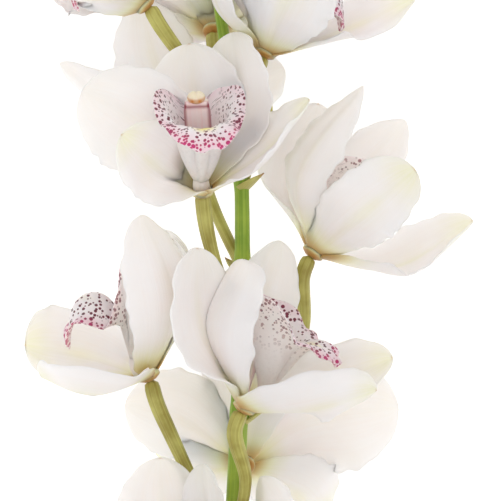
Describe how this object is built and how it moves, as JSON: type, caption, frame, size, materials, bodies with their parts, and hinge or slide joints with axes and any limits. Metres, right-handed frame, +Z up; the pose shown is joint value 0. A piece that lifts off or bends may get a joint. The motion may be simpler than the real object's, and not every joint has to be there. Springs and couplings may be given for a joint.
{
  "type": "cut cymbidium orchid stem",
  "caption": "Cut cymbidium orchid spray: a bare green stalk with white, pink-lipped blooms on short pedicels along its upper half and pointed buds at its tip, lying on its side.",
  "frame": {"origin": "bottom centre of the bounding box, on the surface the stem lies on", "axes": "+Y along the stalk from the cut end to the tip, +Z up, +X to the right seen from above"},
  "size_m": [0.1996, 0.6166, 0.152],
  "materials": {
    "petal": "waxy satin",
    "lip": "velvety satin",
    "column": "waxy satin",
    "pedicel": "satin",
    "bud": "waxy satin",
    "stalk": "satin"
  },
  "bodies": {
    "root": {"bloom_01_tepals": "petal", "bloom_01_lip": "lip", "bloom_01_column": "column", "bloom_01_pedicel": "pedicel", "bloom_02_tepals": "petal", "bloom_02_lip": "lip", "bloom_02_column": "column", "bloom_02_pedicel": "pedicel", "bloom_03_tepals": "petal", "bloom_03_lip": "lip", "bloom_03_column": "column", "bloom_03_pedicel": "pedicel", "bloom_04_tepals": "petal", "bloom_04_lip": "lip", "bloom_04_column": "column", "bloom_04_pedicel": "pedicel", "bloom_05_tepals": "petal", "bloom_05_lip": "lip", "bloom_05_column": "column", "bloom_05_pedicel": "pedicel", "bloom_06_tepals": "petal", "bloom_06_lip": "lip", "bloom_06_column": "column", "bloom_06_pedicel": "pedicel", "bloom_07_tepals": "petal", "bloom_07_lip": "lip", "bloom_07_column": "column", "bloom_07_pedicel": "pedicel", "bloom_08_tepals": "petal", "bloom_08_lip": "lip", "bloom_08_column": "column", "bloom_08_pedicel": "pedicel", "bloom_09_tepals": "petal", "bloom_09_lip": "lip", "bloom_09_column": "column", "bloom_09_pedicel": "pedicel", "bloom_10_tepals": "petal", "bloom_10_lip": "lip", "bloom_10_column": "column", "bloom_10_pedicel": "pedicel", "bloom_11_tepals": "petal", "bloom_11_lip": "lip", "bloom_11_column": "column", "bloom_11_pedicel": "pedicel", "bud_01": "bud", "bud_01_pedicel": "pedicel", "bud_02": "bud", "bud_02_pedicel": "pedicel", "bud_03": "bud", "bud_03_pedicel": "pedicel", "stalk": "stalk"}
  },
  "joints": []
}
